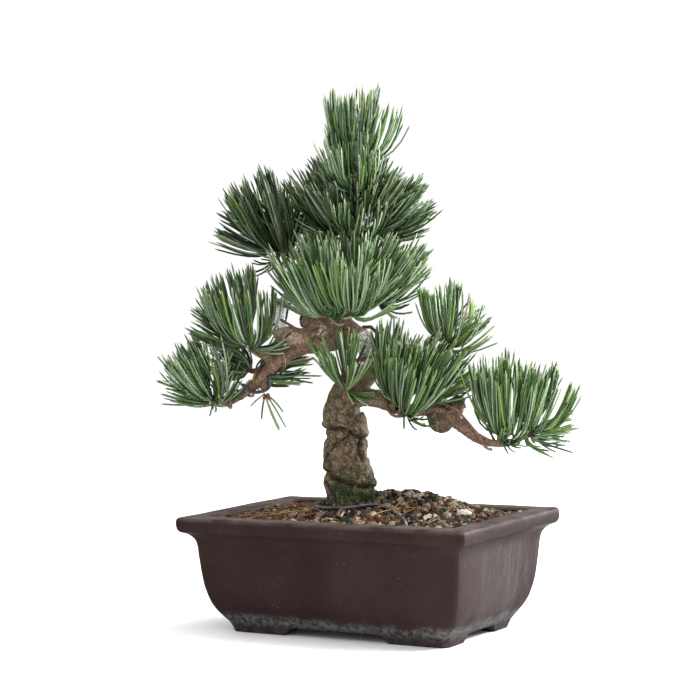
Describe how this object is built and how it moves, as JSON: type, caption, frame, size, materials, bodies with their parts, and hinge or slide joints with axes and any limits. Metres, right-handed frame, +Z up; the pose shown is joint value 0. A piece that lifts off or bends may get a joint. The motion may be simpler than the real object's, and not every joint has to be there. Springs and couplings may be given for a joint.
{
  "type": "bonsai tree in a pot",
  "caption": "Wired five-needle pine bonsai with a twisted trunk and drooping side branches, planted in gravelly soil in a brown rectangular footed clay pot.",
  "frame": {"origin": "centre of the bounding box in plan, on the plane that the pot's feet rest on", "axes": "+Z up, +X along the pot's long side towards the long drooping branch, -Y towards the pot's front"},
  "size_m": [0.3062, 0.1678, 0.4155],
  "materials": {
    "clay": "matte",
    "gravel": "matte",
    "bark": "matte",
    "needles": "matte",
    "mesh_plastic": "matte",
    "clip_steel": "satin",
    "brown_wire": "satin",
    "black_wire": "satin",
    "grey_wire": "satin",
    "pebble": "matte"
  },
  "bodies": {
    "root": {"anchor_wire": "grey_wire", "drain_mesh_left": "mesh_plastic", "drain_mesh_right": "mesh_plastic", "mesh_clip_left": "clip_steel", "mesh_clip_right": "clip_steel", "needles_apex_low_back": "needles", "needles_apex_low_front": "needles", "needles_apex_top": "needles", "needles_centre_back": "needles", "needles_centre_front": "needles", "needles_centre_left": "needles", "needles_centre_right": "needles", "needles_crown_front": "needles", "needles_crown_left": "needles", "needles_crown_right": "needles", "needles_front_low": "needles", "needles_left_bud": "needles", "needles_left_end": "needles", "needles_left_inner": "needles", "needles_left_mid": "needles", "needles_left_under": "needles", "needles_right_inner": "needles", "needles_right_mid": "needles", "needles_right_outer": "needles", "needles_right_tip_a": "needles", "needles_right_tip_b": "needles", "needles_right_upper": "needles", "needles_upper_left": "needles", "pebble": "pebble", "pot": "clay", "soil": "gravel", "training_wire_high": "black_wire", "training_wire_left": "brown_wire", "training_wire_right": "brown_wire", "training_wire_slack": "black_wire", "training_wire_stub": "brown_wire", "training_wire_trunk": "brown_wire", "trunk_and_branches": "bark"}
  },
  "joints": []
}
